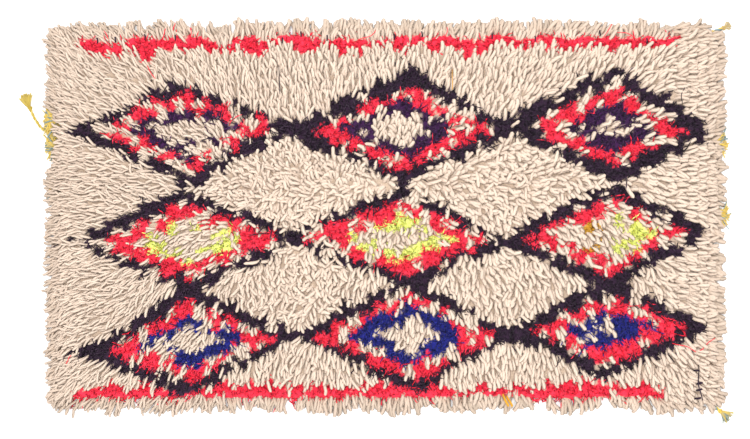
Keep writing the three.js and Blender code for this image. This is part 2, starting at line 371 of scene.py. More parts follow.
def drawn_to_rows(x):
    """Draws places near the right end to rows that are counted back from it."""
    pull = RIGHT_ROWS["pull"] * np.clip((x - RIGHT_ROWS["from_x"]) / RIGHT_ROWS["fade"], 0, 1)
    row = HALF_LENGTH - RIGHT_ROWS["pitch"] * np.round((HALF_LENGTH - x) / RIGHT_ROWS["pitch"])
    return x + pull * (row - x)


place_x, place_y = settle(rough_x, rough_y)
place_x = drawn_to_rows(place_x)
print("places for yarn:", len(place_x))

# %% [markdown]
# ## Yarn that grows by rule
# Thousands of yarn ends could be modelled one by one, or combed with a hair system. Geometry Nodes fit best,
# because every end follows the same rule: it leaves its knot at one slope, bends over to another, wanders
# sideways a little and ends in a rounded tip. The tree below takes bare points, one for each end, with the
# rule's numbers as attributes. It puts a straight line on each point, bends the lines, and sweeps a flattened
# section along them.

# %% Helpers for node trees
def put(socket, tree, value):
    """Links a socket's input to an output, or sets its value."""
    if isinstance(value, bpy.types.NodeSocket):
        tree.links.new(value, socket)
    else:
        socket.default_value = value


def add(tree, kind, inputs=None, **settings):
    """Adds a node, with its settings and its inputs by name or number."""
    node = tree.nodes.new(kind)
    for name, value in settings.items():
        setattr(node, name, value)
    for name, value in (inputs or {}).items():
        put(node.inputs[name], tree, value)
    return node


def calc(tree, operation, *values):
    """One step of arithmetic in a node tree."""
    node = add(tree, "ShaderNodeMath", operation=operation)
    for socket, value in zip(node.inputs, values):
        put(socket, tree, value)
    return node.outputs[0]


def vector(tree, operation, *values):
    """One step of vector arithmetic in a node tree. A scale comes last."""
    node = add(tree, "ShaderNodeVectorMath", operation=operation)
    sockets = [node.inputs[0], node.inputs["Scale"]] if operation == "SCALE" else node.inputs
    for socket, value in zip(sockets, values):
        put(socket, tree, value)
    return node.outputs[0]


def named(tree, name, data_type="FLOAT"):
    """A named attribute of the geometry."""
    node = add(tree, "GeometryNodeInputNamedAttribute", {"Name": name}, data_type=data_type)
    return node.outputs["Attribute"]


def stored(tree, geometry, name, value, data_type="FLOAT"):
    """The geometry with a value stored on its points under a name."""
    inputs = {"Geometry": geometry, "Name": name, "Value": value}
    kind = "GeometryNodeStoreNamedAttribute"
    return add(tree, kind, inputs, data_type=data_type, domain="POINT").outputs[0]


def new_tree(name, source, numbers):
    """A geometry tree that makes yarn from a source geometry, and its inputs."""
    tree = bpy.data.node_groups.new(name, "GeometryNodeTree")
    kinds = {source: "Geometry", **numbers, "Material": "Material"}
    for socket_name, kind in kinds.items():
        tree.interface.new_socket(socket_name, in_out="INPUT", socket_type="NodeSocket" + kind)
    tree.interface.new_socket("Yarn", in_out="OUTPUT", socket_type="NodeSocketGeometry")
    return tree, add(tree, "NodeGroupInput").outputs


# %% Sweeping a section along yarn
def swept(tree, curve, given, radius, squeeze=None):
    """Sweeps a round or squeezed section along curves. Its points keep their place on it as "ply"."""
    ring = add(tree, "GeometryNodeCurvePrimitiveCircle", {"Resolution": given["Sides"], "Radius": 1.0})
    spot = add(tree, "GeometryNodeInputPosition").outputs[0]
    section = stored(tree, ring.outputs[0], "ply", spot, "FLOAT_VECTOR")
    if squeeze is not None:
        flat = vector(tree, "MULTIPLY", spot, squeeze)
        section = add(tree, "GeometryNodeSetPosition", {"Geometry": section, "Position": flat}).outputs[0]
    thick = add(tree, "GeometryNodeSetCurveRadius", {"Curve": curve, "Radius": radius}).outputs[0]
    scale = add(tree, "GeometryNodeInputRadius").outputs[0]
    inputs = {"Curve": thick, "Profile Curve": section, "Scale": scale, "Fill Caps": True}
    mesh = add(tree, "GeometryNodeCurveToMesh", inputs).outputs[0]
    return add(tree, "GeometryNodeSetShadeSmooth", {"Geometry": mesh}).outputs[0]


def finished(tree, mesh, given, passing):
    """Ends a tree: drops attributes that only served the making, realizes instances, sets the material."""
    for name in passing:
        mesh = add(tree, "GeometryNodeRemoveAttribute", {"Geometry": mesh, "Name": name}).outputs[0]
    mesh = add(tree, "GeometryNodeRealizeInstances", {"Geometry": mesh}).outputs[0]
    mesh = add(tree, "GeometryNodeSetMaterial", {"Geometry": mesh, "Material": given["Material"]}).outputs[0]
    add(tree, "NodeGroupOutput", {"Yarn": mesh})
    print(f"{tree.name}: {len(tree.nodes)} nodes")
    return tree


# %% The tree that grows yarn
END_NUMBERS = ["heading", "slope_root", "slope_tip", "length", "bend", "wave", "phase", "stout", "tone"]
ROUND_TIP = [(0.0, 0.78), (0.25, 0.96), (0.55, 1.0), (0.86, 1.0), (0.95, 0.9), (0.985, 0.66), (1.0, 0.3)]


def straight_ends(tree, given):
    """A straight line on each knot. Its points stand closer towards the tip, at the share "along" of it."""
    line = add(tree, "GeometryNodeCurvePrimitiveLine", {"End": (0, 0, 1)})
    points = calc(tree, "ADD", given["Segments"], 1.0)
    line = add(tree, "GeometryNodeResampleCurve", {"Curve": line.outputs[0], "Count": points})
    inputs = {"Points": given["Knots"], "Instance": line.outputs[0]}
    ends = add(tree, "GeometryNodeInstanceOnPoints", inputs).outputs[0]
    ends = add(tree, "GeometryNodeRealizeInstances", {"Geometry": ends}).outputs[0]
    even = add(tree, "GeometryNodeSplineParameter").outputs["Factor"]
    return stored(tree, ends, "along", calc(tree, "SINE", calc(tree, "MULTIPLY", even, math.pi / 2)))


def bent_place(tree, given, number, along):
    """Where a point of an end lies: the slope turns evenly from root to tip, and the end swings sideways."""
    root_slope, length = number["slope_root"], number["length"]
    turn = calc(tree, "SUBTRACT", number["slope_tip"], root_slope)
    slope = calc(tree, "MULTIPLY_ADD", turn, along, root_slope)
    stride = calc(tree, "DIVIDE", length, turn)
    sine_gain = calc(tree, "SUBTRACT", calc(tree, "SINE", slope), calc(tree, "SINE", root_slope))
    cosine_loss = calc(tree, "SUBTRACT", calc(tree, "COSINE", root_slope), calc(tree, "COSINE", slope))
    reach = calc(tree, "MULTIPLY", stride, sine_gain)
    height = calc(tree, "MULTIPLY", stride, cosine_loss)
    swing = calc(tree, "SINE", calc(tree, "MULTIPLY_ADD", along, 2 * math.pi, number["phase"]))
    swing = calc(tree, "MULTIPLY", calc(tree, "MULTIPLY", swing, number["wave"]), along)
    curve = calc(tree, "MULTIPLY", calc(tree, "MULTIPLY", along, along), number["bend"])
    side = calc(tree, "MULTIPLY", calc(tree, "ADD", swing, curve), length)
    cosine, sine = calc(tree, "COSINE", number["heading"]), calc(tree, "SINE", number["heading"])
    root = add(tree, "ShaderNodeSeparateXYZ", {"Vector": named(tree, "root", "FLOAT_VECTOR")}).outputs
    x = calc(tree, "SUBTRACT", calc(tree, "MULTIPLY", cosine, reach), calc(tree, "MULTIPLY", sine, side))
    y = calc(tree, "ADD", calc(tree, "MULTIPLY", sine, reach), calc(tree, "MULTIPLY", cosine, side))
    x, y = calc(tree, "ADD", root["X"], x), calc(tree, "ADD", root["Y"], y)
    z = calc(tree, "MAXIMUM", calc(tree, "ADD", root["Z"], height), given["Floor"])
    return add(tree, "ShaderNodeCombineXYZ", {"X": x, "Y": y, "Z": z}).outputs[0]


def tip_shape(tree, along):
    """The thickness of an end along it, as a share, with a rounded tip."""
    tip = add(tree, "ShaderNodeFloatCurve", {"Value": along})
    shape = tip.mapping.curves[0]
    shape.points[0].location = ROUND_TIP[0]
    shape.points[1].location = ROUND_TIP[-1]
    for spot in ROUND_TIP[1:-1]:
        shape.points.new(*spot)
    tip.mapping.update()
    return tip.outputs[0]


def yarn_tree():
    """Grows a bent, flattened yarn end from each knot."""
    whole, sizes = ["Segments", "Sides"], ["Radius", "Flattening", "Turns", "Floor"]
    numbers = {**dict.fromkeys(whole, "Int"), **dict.fromkeys(sizes, "Float")}
    tree, given = new_tree("grow_yarn", "Knots", numbers)
    ends = straight_ends(tree, given)
    number = {name: named(tree, name) for name in END_NUMBERS}
    along = named(tree, "along")
    place = bent_place(tree, given, number, along)
    bent = add(tree, "GeometryNodeSetPosition", {"Geometry": ends, "Position": place}).outputs[0]
    twist = calc(tree, "MULTIPLY", calc(tree, "MULTIPLY", along, 2 * math.pi), given["Turns"])
    bent = add(tree, "GeometryNodeSetCurveTilt", {"Curve": bent, "Tilt": twist}).outputs[0]
    thickness = calc(tree, "MULTIPLY", tip_shape(tree, along), number["stout"])
    wide = calc(tree, "ADD", given["Flattening"], 1.0)
    thin = calc(tree, "SUBTRACT", 1.0, given["Flattening"])
    squeeze = add(tree, "ShaderNodeCombineXYZ", {"X": wide, "Y": thin, "Z": 1.0}).outputs[0]
    mesh = swept(tree, bent, given, calc(tree, "MULTIPLY", thickness, given["Radius"]), squeeze)
    return finished(tree, mesh, given, [*END_NUMBERS[:-1], "root"])


GROW_YARN = yarn_tree()

# %% [markdown]
# ## Yarn that follows a path
# The twined ends, the loose yarn and the tassels are plied yarns that follow a path. A second tree resamples
# the path, makes one copy of it for each ply, and winds the copies about it before it sweeps their sections.

# %% The tree that winds plies along a path
FIBRE_RUN = 20.0


def ply_tree():
    """Winds plies about each path."""
    whole, sizes = ["Plies", "Sides"], ["Pitch", "Step", "Radius", "Winding"]
    numbers = {**dict.fromkeys(whole, "Int"), **dict.fromkeys(sizes, "Float")}
    tree, given = new_tree("wind_plies", "Path", numbers)
    path = add(tree, "GeometryNodeMeshToCurve", {"Mesh": given["Path"]}).outputs[0]
    inputs = {"Curve": path, "Length": given["Step"]}
    path = add(tree, "GeometryNodeResampleCurve", inputs, mode="LENGTH").outputs[0]
    path = add(tree, "GeometryNodeSetCurveNormal", {"Curve": path}, mode="Z_UP").outputs[0]
    inputs = {"Geometry": path, "Amount": given["Plies"]}
    copies = add(tree, "GeometryNodeDuplicateElements", inputs, domain="SPLINE")
    ply = copies.outputs["Duplicate Index"]
    run = add(tree, "GeometryNodeSplineParameter").outputs["Length"]
    turns = calc(tree, "DIVIDE", run, given["Pitch"])
    turns = calc(tree, "ADD", turns, calc(tree, "DIVIDE", ply, given["Plies"]))
    angle = calc(tree, "MULTIPLY", turns, 2 * math.pi)
    across = add(tree, "GeometryNodeInputNormal").outputs[0]
    ahead = add(tree, "GeometryNodeInputTangent").outputs[0]
    up = vector(tree, "CROSS_PRODUCT", ahead, across)
    aside = calc(tree, "MULTIPLY", calc(tree, "COSINE", angle), given["Winding"])
    above = calc(tree, "MULTIPLY", calc(tree, "SINE", angle), given["Winding"])
    offset = vector(tree, "ADD", vector(tree, "SCALE", across, aside), vector(tree, "SCALE", up, above))
    last = calc(tree, "MAXIMUM", calc(tree, "SUBTRACT", given["Plies"], 1.0), 1.0)
    yarn = stored(tree, copies.outputs[0], "tone", calc(tree, "DIVIDE", ply, last))
    yarn = stored(tree, yarn, "along", calc(tree, "ADD", calc(tree, "MULTIPLY", run, FIBRE_RUN), 1.0))
    yarn = add(tree, "GeometryNodeSetPosition", {"Geometry": yarn, "Offset": offset}).outputs[0]
    return finished(tree, swept(tree, yarn, given, given["Radius"]), given, [])


WIND_PLIES = ply_tree()


# %% Running a tree and keeping a plain mesh
def placed(name, data):
    """A new object at the origin of the scene."""
    thing = bpy.data.objects.new(name, data)
    bpy.context.collection.objects.link(thing)
    return thing


def finished_piece(name, mesh):
    """The object of a finished mesh, which prints how many triangles it has."""
    print(f"{name}: {sum(len(p.vertices) - 2 for p in mesh.polygons)} triangles")
    return placed(name, mesh)


def made_by(tree, name, seed_mesh, **inputs):
    """Runs a tree on a mesh of points or edges, and leaves a plain mesh object."""
    maker = placed(name + "_maker", seed_mesh)
    modifier = maker.modifiers.new("make", "NODES")
    modifier.node_group = tree
    sockets = {i.name: i.identifier for i in tree.interface.items_tree if i.in_out == "INPUT"}
    for key, value in inputs.items():
        modifier[sockets[key]] = value
    graph = bpy.context.evaluated_depsgraph_get()
    mesh = bpy.data.meshes.new_from_object(maker.evaluated_get(graph))
    mesh.name = name
    bpy.data.objects.remove(maker)
    bpy.data.meshes.remove(seed_mesh)
    return finished_piece(name, mesh)


def grow(name, ends, material, **sizes):
    """Grows a batch of yarn ends."""
    seed_mesh = bpy.data.meshes.new(name + "_knots")
    seed_mesh.vertices.add(len(ends["root"]))
    seed_mesh.vertices.foreach_set("co", ends["root"].astype(np.float32).ravel())
    spots = seed_mesh.attributes.new("root", "FLOAT_VECTOR", "POINT")
    spots.data.foreach_set("vector", ends["root"].astype(np.float32).ravel())
    for key in END_NUMBERS:
        layer = seed_mesh.attributes.new(key, "FLOAT", "POINT")
        layer.data.foreach_set("value", ends[key].astype(np.float32))
    return made_by(GROW_YARN, name, seed_mesh, Material=material, **sizes)


def wind(name, paths, material, **sizes):
    """Winds plies along paths, given as arrays of points in millimetres."""
    seed_mesh = bpy.data.meshes.new(name + "_paths")
    edges, first = [], 0
    for path in paths:
        edges += [(n, n + 1) for n in range(first, first + len(path) - 1)]
        first += len(path)
    seed_mesh.from_pydata((np.concatenate(paths) * MM).tolist(), edges, [])
    return made_by(WIND_PLIES, name, seed_mesh, Material=material, **sizes)


# %% [markdown]
# ## Materials
# Cotton and wool are matt, but their loose fibres catch light at the edges, which sheen gives. Each yarn end
# has its own tone, and shows fine fibres along it and a groove that winds between its two plies. It is darker
# at its root, partly from dirt and partly as painted shade deep in the pile, and a cream end has painted
# shade along its sides, where it lies against its neighbours. The fibres and the groove are one node group,
# so that every yarn shares them with its own values.

# %% Helpers for materials
SPECULAR, SHEEN_ROUGHNESS, MATT = 0.15, 0.5, 0.9


def attribute(tree, name, output="Fac"):
    """An attribute of the surface."""
    return add(tree, "ShaderNodeAttribute", attribute_name=name).outputs[output]


def faded(tree, value, start, stop, **settings):
    """A value that goes from 0 at the start to 1 at the stop."""
    inputs = {"Value": value, "From Min": start, "From Max": stop}
    return add(tree, "ShaderNodeMapRange", inputs, **settings).outputs[0]


def mixed(tree, factor, first, second):
    """A colour between two colours."""
    node = add(tree, "ShaderNodeMix", data_type="RGBA", clamp_factor=True)
    for name, value in (("Factor", factor), ("A", first), ("B", second)):
        put(node.inputs[name], tree, (*value, 1) if isinstance(value, tuple) else value)
    return node.outputs["Result"]


def raised(tree, height, strength, distance):
    """The normal of a surface that is raised by a height."""
    inputs = {"Height": height, "Strength": strength, "Distance": distance}
    return add(tree, "ShaderNodeBump", inputs).outputs[0]


def new_group(name, inputs, outputs):
    """A shader group whose sockets are numbers, and its inputs."""
    tree = bpy.data.node_groups.new(name, "ShaderNodeTree")
    for way, names in (("INPUT", inputs), ("OUTPUT", outputs)):
        for socket_name in names:
            tree.interface.new_socket(socket_name, in_out=way, socket_type="NodeSocketFloat")
    return tree, add(tree, "NodeGroupInput").outputs


def new_material(name):
    """A material with an empty node tree."""
    material = bpy.data.materials.new(name)
    material.use_nodes = True
    material.node_tree.nodes.clear()
    return material, material.node_tree


def matt_surface(tree, colour, normal, sheen):
    """Ends a material in a matt surface with some sheen."""
    finish = {"Roughness": MATT, "Specular IOR Level": SPECULAR, "Sheen Roughness": SHEEN_ROUGHNESS}
    inputs = {"Base Color": colour, "Normal": normal, "Sheen Weight": sheen, **finish}
    surface = add(tree, "ShaderNodeBsdfPrincipled", inputs)
    add(tree, "ShaderNodeOutputMaterial", {"Surface": surface.outputs[0]})


# %% Fibres and plies
# yarn ends differ by their tone, so it also shifts their fibres and turns their plies
FIBRE_SHIFT, FIBRE_STRETCH, PLY_TURN = 91.0, 5.0, 40.0
FIBRE_NOISE = {"Scale": 1.0, "Detail": 3.0, "Roughness": 0.6}
GROOVE_WIDTH = 0.5


def fibre_group():
    """Fine fibres that run along a yarn, and the winding groove between its two plies."""
    tree, given = new_group("yarn_fibres", ("Fineness", "Groove", "Turns"), ("Height", "Fibres"))
    along, tone, ply = attribute(tree, "along"), attribute(tree, "tone"), attribute(tree, "ply", "Vector")
    spread = vector(tree, "SCALE", ply, given["Fineness"])
    shift = calc(tree, "MULTIPLY_ADD", tone, FIBRE_SHIFT, calc(tree, "MULTIPLY", along, FIBRE_STRETCH))
    spot = vector(tree, "ADD", spread, add(tree, "ShaderNodeCombineXYZ", {"Z": shift}).outputs[0])
    fibres = add(tree, "ShaderNodeTexNoise", {"Vector": spot, **FIBRE_NOISE}).outputs["Fac"]
    angle = calc(tree, "MULTIPLY", calc(tree, "MULTIPLY", along, given["Turns"]), 2 * math.pi)
    angle = calc(tree, "MULTIPLY_ADD", tone, PLY_TURN, angle)
    cosine, sine = calc(tree, "COSINE", angle), calc(tree, "SINE", angle)
    facing = add(tree, "ShaderNodeCombineXYZ", {"X": cosine, "Y": sine}).outputs[0]
    dot = add(tree, "ShaderNodeVectorMath", {0: ply, 1: facing}, operation="DOT_PRODUCT").outputs["Value"]
    apart = calc(tree, "ABSOLUTE", dot)
    groove = faded(tree, apart, 0.0, GROOVE_WIDTH, interpolation_type="SMOOTHSTEP")
    height = calc(tree, "ADD", calc(tree, "MULTIPLY", groove, given["Groove"]), fibres)
    add(tree, "NodeGroupOutput", {"Height": height, "Fibres": fibres})
    return tree


FIBRES = fibre_group()
print("yarn_fibres nodes:", len(FIBRES.nodes))

# %% Yarn materials
FINENESS, PLY_TURNS = 2.6, 2.5
SPECKLE = 0.7
# along an end the root's dirt and painted shade fade out; across it the painted shade of the sides sets in
ROOT_DIRT_AND_SHADE_FADE, PAINTED_SIDE_SHADE_FADE = (0.05, 0.6), (0.8, 1.0)
YARN_RELIEF = 2.0 * MM


def yarn_material(name, low, high, root, side=None, painted_rim_shade=None, sheen=0.1, groove=0.0, bump=0.7):
    """Yarn between two tones, darker at its root from dirt and painted shade. It may have painted shade on
    its sides, and painted shade for rim ends below tone 0.
    """
    material, tree = new_material(name)
    inputs = {"Fineness": FINENESS, "Groove": groove, "Turns": PLY_TURNS}
    fibres = add(tree, "ShaderNodeGroup", inputs, node_tree=FIBRES).outputs
    tone, along = attribute(tree, "tone"), attribute(tree, "along")
    speck = calc(tree, "MULTIPLY_ADD", calc(tree, "SUBTRACT", fibres["Fibres"], 0.5), SPECKLE, tone)
    body = mixed(tree, speck, low, high)
    # ends at the rim have a tone below 0, which mixes in painted shade
    if painted_rim_shade:
        body = mixed(tree, calc(tree, "MULTIPLY", tone, -1.0), body, painted_rim_shade)
    # darker towards the root: partly dirt, partly painted shade deep in the pile
    colour = mixed(tree, faded(tree, along, *ROOT_DIRT_AND_SHADE_FADE), root, body)
    # painted shade on the sides of each end, where it lies against its neighbours
    if side:
        ply = add(tree, "ShaderNodeSeparateXYZ", {"Vector": attribute(tree, "ply", "Vector")}).outputs
        across = calc(tree, "ABSOLUTE", ply["X"])
        colour = mixed(tree, faded(tree, across, *PAINTED_SIDE_SHADE_FADE), colour, side)
    matt_surface(tree, colour, raised(tree, fibres["Height"], bump, YARN_RELIEF), sheen)
    return material


DYES = [
    # cream: root colour is dirt and painted shade; side and below-tone-0 colours are painted shade
    dict(low=(0.605, 0.476, 0.38), high=(0.66, 0.535, 0.432), root=(0.5, 0.375, 0.28),
         side=(0.36, 0.25, 0.175), painted_rim_shade=(0.46, 0.365, 0.285), groove=0.9, bump=0.6),
    dict(low=(0.011, 0.0045, 0.012), high=(0.055, 0.0255, 0.057), root=(0.006, 0.002, 0.006)),
    dict(low=(0.93, 0.018, 0.045), high=(1.0, 0.06, 0.115), root=(0.9, 0.016, 0.04), sheen=0.04),
    dict(low=(0.018, 0.006, 0.03), high=(0.08, 0.02, 0.1), root=(0.01, 0.003, 0.012)),
    dict(low=(0.76, 0.79, 0.12), high=(0.92, 0.99, 0.34), root=(0.72, 0.73, 0.1), sheen=0.05),
    dict(low=(0.009, 0.011, 0.10), high=(0.022, 0.028, 0.3), root=(0.007, 0.008, 0.07)),
    dict(low=(0.58, 0.26, 0.016), high=(0.7, 0.4, 0.05), root=(0.5, 0.22, 0.014), sheen=0.05),
]
YARN_MATERIALS = [yarn_material(name + "_yarn", **dye) for name, dye in zip(YARN_NAMES, DYES)]
print("yarn materials:", [m.name for m in YARN_MATERIALS])

# %% [markdown]
# ## Ground and bed
# The ground is a flat woven cloth. From below it shows the backs of the knots, in rows with plain weave
# between them. On it lies the bed: under the ends that show, the pile is a thick mat of yarn, and one lumpy
# slab stands for it, higher where wool is knotted in, with a lump for each knot. Both are slabs with a
# relief, so one helper makes them, and both take their colours from the chart, as an attribute of their
# points. Under cream the bed is darker than the yarn, as painted shade in the gaps between ends.

# %% A slab with a relief
def slab(name, half, step, top, bottom, colours):
    """A closed slab. A face with one height is a single polygon, and one with a relief is a grid."""
    columns, rows = (int(2 * side / step) for side in half)
    across, along = np.linspace(-half[0], half[0], columns + 1), np.linspace(-half[1], half[1], rows + 1)
    x, y = (v.ravel() for v in np.meshgrid(across, along, indexing="ij"))
    index = np.arange(x.size).reshape(columns + 1, rows + 1)
    edge = np.concatenate([index[:-1, 0], index[-1, :-1], index[:0:-1, -1], index[0, :0:-1]])
    quads = np.stack([index[:-1, :-1], index[1:, :-1], index[1:, 1:], index[:-1, 1:]], axis=-1).reshape(-1, 4)
    spots, faces, rims = np.zeros((0, 3)), [], []
    for height, turn in ((top, 1), (bottom, -1)):
        first, level = len(spots), np.broadcast_to(height(x, y), x.shape)
        face = np.stack([x, y, level], axis=1)
        if np.ptp(level) == 0:
            face, rim = face[edge], np.arange(len(edge)) + first
            faces.append(rim[::turn].tolist())
        else:
            rim = edge + first
            faces += (quads[:, ::turn] + first).tolist()
        spots = np.concatenate([spots, face])
        rims.append(rim)
    upper, lower = rims
    faces += np.stack([lower, np.roll(lower, -1), np.roll(upper, -1), upper], axis=1).tolist()
    mesh = bpy.data.meshes.new(name)
    mesh.from_pydata((spots * MM).tolist(), [], faces)
    tint = mesh.color_attributes.new("dye", "FLOAT_COLOR", "POINT")
    shades = colours(spots[:, 0], spots[:, 1])
    tint.data.foreach_set("color", np.concatenate([shades, np.ones((len(shades), 1))], axis=1).ravel())
    mesh.shade_smooth()
    return finished_piece(name, mesh)


# %% Matted grain
GRAIN_NOISE = {"Detail": 2.0, "Roughness": 0.7}
GRAIN_SHADE = {"From Min": 0.35, "From Max": 0.7, "To Min": 0.7, "To Max": 1.1}


def grain_group():
    """The fine grain of matted fibres."""
    tree, given = new_group("matted_grain", ("Scale",), ("Shade", "Height"))
    spot = add(tree, "ShaderNodeTexCoord").outputs["Object"]
    inputs = {"Vector": spot, "Scale": given["Scale"], **GRAIN_NOISE}
    noise = add(tree, "ShaderNodeTexNoise", inputs).outputs["Fac"]
    shade = add(tree, "ShaderNodeMapRange", {"Value": noise, **GRAIN_SHADE}).outputs[0]
    add(tree, "NodeGroupOutput", {"Shade": shade, "Height": noise})
    return tree


GRAIN = grain_group()
print("matted_grain nodes:", len(GRAIN.nodes))

# %% Ground
twining_low, twining_high = np.array(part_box("end_twining_right")) / MM
GROUND_HALF = (round(twining_low[0]), round(twining_high[1]))
GROUND_TOP, GROUND_STEP = 3.5, 9.0
ROW_PITCH, ROW_WIDTH = 36.0, 0.3
KNOT_BACK, KNOT_BEAD = 0.9, 0.25
PLAIN_FADE = (0.15, 0.22)
WEFT_PITCH, WARP_PITCH, WEAVE_RELIEF = 3.0, 5.2, 0.35
WEFT_COLOUR, WARP_PALER = (0.30, 0.22, 0.16), 1.9
WARP_COLOUR = tuple(WARP_PALER * c for c in WEFT_COLOUR)
GROUND_GRAIN, GROUND_BUMP, GROUND_RELIEF = 300.0, 0.7, 1.5 * MM
MATTED_SHEEN = 0.1
DYE_COLOURS = np.array([np.add(d["low"], d["high"]) / 2 for d in DYES])


def knot_backs(x, y):
    """The relief of the underside: rows of knots touch the floor, and plain weave between them is higher."""
    row = np.abs((x / ROW_PITCH) % 1 - 0.5)
    bead = 0.5 + 0.5 * np.cos(2 * np.pi * y / KNOT_CELL[1])
    return KNOT_BACK * np.clip(row / ROW_WIDTH, 0, 1) + KNOT_BEAD * bead * (row < ROW_WIDTH)


def ground_material():
    """Rows of dyed knot backs, and plain weave between them."""
    material, tree = new_material("ground_weave")
    place = add(tree, "ShaderNodeTexCoord").outputs["Object"]
    place = add(tree, "ShaderNodeSeparateXYZ", {"Vector": place}).outputs
    row = calc(tree, "FRACT", calc(tree, "DIVIDE", place["X"], ROW_PITCH * MM))
    row = calc(tree, "ABSOLUTE", calc(tree, "SUBTRACT", row, 0.5))
    weft = calc(tree, "SINE", calc(tree, "MULTIPLY", place["X"], 2 * math.pi / (WEFT_PITCH * MM)))
    warp = calc(tree, "SINE", calc(tree, "MULTIPLY", place["Y"], 2 * math.pi / (WARP_PITCH * MM)))
    weave = calc(tree, "MULTIPLY", weft, warp)
    thread = mixed(tree, calc(tree, "MULTIPLY_ADD", weave, 0.5, 0.5), WEFT_COLOUR, WARP_COLOUR)
    colour = mixed(tree, faded(tree, row, *PLAIN_FADE), attribute(tree, "dye", "Color"), thread)
    grain = add(tree, "ShaderNodeGroup", {"Scale": GROUND_GRAIN}, node_tree=GRAIN).outputs
    height = calc(tree, "MULTIPLY_ADD", weave, WEAVE_RELIEF, grain["Height"])
    normal = raised(tree, height, GROUND_BUMP, GROUND_RELIEF)
    matt_surface(tree, vector(tree, "SCALE", colour, grain["Shade"]), normal, MATTED_SHEEN)
    return material


ground = slab(
    name="rug_ground", half=GROUND_HALF, step=GROUND_STEP, top=lambda x, y: GROUND_TOP, bottom=knot_backs,
    colours=lambda x, y: DYE_COLOURS[chart(x, y)],
)
ground.data.materials.append(ground_material())
pieces = {"rug_ground": ground}

# %% Bed of the pile
BED_INSET, BED_GAP, BED_STEP = 0.5, 0.1, 6.5
BED_HALF = tuple(half - BED_INSET for half in GROUND_HALF)
BED_GRAIN, BED_BUMP, BED_RELIEF = 420.0, 0.6, 3.0 * MM
CREAM_BED, LOZENGE_BED, WOOL_BED, KNOT_LUMP = 19.0, 14.5, 14.5, 4.5
BED_EDGE = 8.0
BED_COLOURS = DYE_COLOURS.copy()
# under cream the bed is darker than the yarn: painted shade in the gaps between ends
BED_COLOURS[CREAM] = (0.53, 0.4, 0.3)


def bed_height(x, y):
    """The height of the bed at each place, in millimetres."""
    knot_x, knot_y = knot_at(x, y)
    lump = np.cos(np.pi * np.clip((x - knot_x) / KNOT_CELL[0], -0.5, 0.5))
    lump = lump * np.cos(np.pi * np.clip((y - knot_y) / KNOT_CELL[1], -0.5, 0.5))
    cream = np.where(in_lozenge(x, y), LOZENGE_BED, CREAM_BED)
    height = np.where(chart(x, y) == CREAM, cream, WOOL_BED + KNOT_LUMP * lump)
    edge = np.minimum(BED_HALF[0] - np.abs(x), BED_HALF[1] - np.abs(y))
    return np.minimum(height, BED_EDGE + np.maximum(edge, 0))


def bed_material():
    """Matted yarn in the chart's colours. Under cream it is darker than the yarn, as painted shade in the
    gaps between ends.
    """
    material, tree = new_material("pile_bed")
    grain = add(tree, "ShaderNodeGroup", {"Scale": BED_GRAIN}, node_tree=GRAIN).outputs
    colour = vector(tree, "SCALE", attribute(tree, "dye", "Color"), grain["Shade"])
    matt_surface(tree, colour, raised(tree, grain["Height"], BED_BUMP, BED_RELIEF), MATTED_SHEEN)
    return material


bed = slab(
    name="pile_bed", half=BED_HALF, step=BED_STEP, top=bed_height,
    bottom=lambda x, y: GROUND_TOP + BED_GAP, colours=lambda x, y: BED_COLOURS[chart(x, y)],
)
bed.data.materials.append(bed_material())
pieces["pile_bed"] = bed

# %% [markdown]
# ## Cream pile
# A cream end is shorter than a finger. It leaves its knot steeply and bends over until it lies on the next
# row. At the rim there is nothing to lie on, so the outer ends bend down to the floor and gather into locks.
# They fall away from the light, so their colour is a little darker there: painted shade. Where an end would
# lie over dyed wool, it is drawn back: only its tip shows there.
# Along the rim a second layer closes the gaps.

# %% Locks along the rim
RIM_DROP = 40.0
LOCK_WIDTH, TIP_SCATTER = 28.0, 1.2
LOCK_WANDER = dict(amount=0.4, size=3, seed=31)
# how far a lock may reach out or fall short, how round its end is, and how its ends are pulled together
SIDE_LOCKS = dict(reach=8.0, round=10.0, pull=0.42)
END_LOCKS = dict(reach=3.0, round=4.0, pull=0.16)


def in_locks(x, y, heading):
    """How near places are to the rim, from 0 to 1, and the heading and the reach that their lock gives."""
    near_end, near_side = np.abs(x) - HALF_LENGTH, np.abs(y - RIM_SHIFT) - HALF_WIDTH
    rim = np.clip(1 + np.maximum(near_end, near_side) / RIM_DROP, 0.0, 1.0)
    on_side = near_side > near_end
    run = np.where(on_side, x, y) / LOCK_WIDTH
    run = run + soft_noise(run, run, **LOCK_WANDER)
    lock = np.floor(run)
    off = 2 * (run - lock) - 1
    shape = {key: np.where(on_side, SIDE_LOCKS[key], END_LOCKS[key]) for key in SIDE_LOCKS}
    heading = heading - rim * shape["pull"] * off * np.where(on_side, -np.sin(heading), np.cos(heading))
    reach = shape["reach"] * (2 * chance_of(lock, np.sign(x), np.sign(y)) - 1) - shape["round"] * off**2
    return rim, heading, rim * (reach + rng.normal(0, TIP_SCATTER, len(x)))


print("locks along a long side:", round(2 * HALF_LENGTH / LOCK_WIDTH))

# %% Numbers for yarn ends
SHOWN_SHARE = 0.62
RIM_CALM = 0.5
RIM_FALL = dict(root=0.5, tip=0.9)
STOUT_RANGE = (0.9, 1.1)


def level_reach(length, root_slope, tip_slope):
    """How far yarn ends reach across the floor."""
    return length * (np.sin(tip_slope) - np.sin(root_slope)) / (tip_slope - root_slope)


